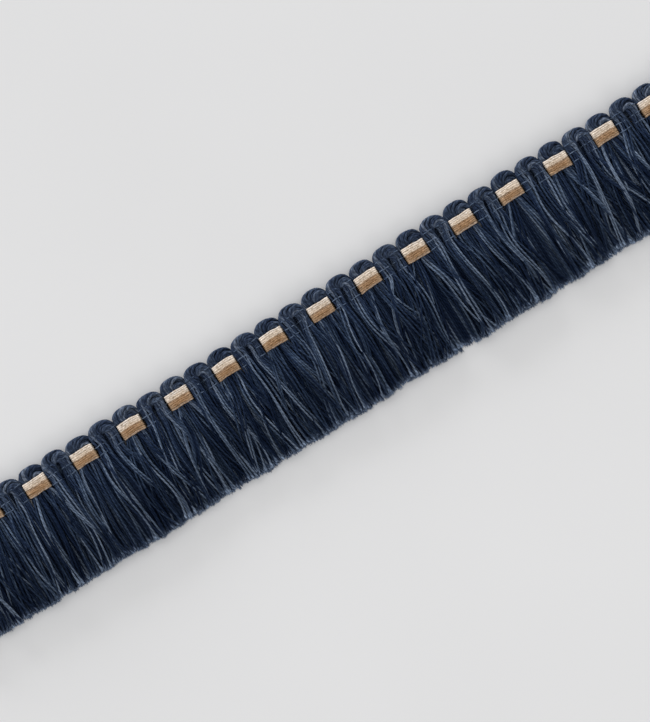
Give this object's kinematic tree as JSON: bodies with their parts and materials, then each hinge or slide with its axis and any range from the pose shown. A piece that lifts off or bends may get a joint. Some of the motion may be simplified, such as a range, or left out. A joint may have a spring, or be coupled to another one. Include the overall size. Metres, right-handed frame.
{
  "type": "fringe trim",
  "caption": "Flat length of brush fringe: a looped yarn heading inlaid with two ribbons over a skirt of cut strands, sewn on along the edge of a cushion, curtain or shade.",
  "frame": {"origin": "middle of the skirt strip's back face, on the line where the trim is sewn or glued on", "axes": "+X along the trim, +Y from the cut ends towards the loops, +Z out of the trim's face"},
  "size_m": [0.2834, 0.038, 0.0041],
  "materials": {
    "navy_yarn": "matt spun cotton yarn, navy with lighter slate blue highlights",
    "cream_yarn": "soft sheen, fine parallel yarns, cream",
    "tan_yarn": "soft sheen, fine parallel yarns, tan"
  },
  "bodies": {
    "root": {"heading": "navy_yarn", "skirt": "navy_yarn", "ribbon_cream": "cream_yarn", "ribbon_tan": "tan_yarn"}
  },
  "joints": []
}
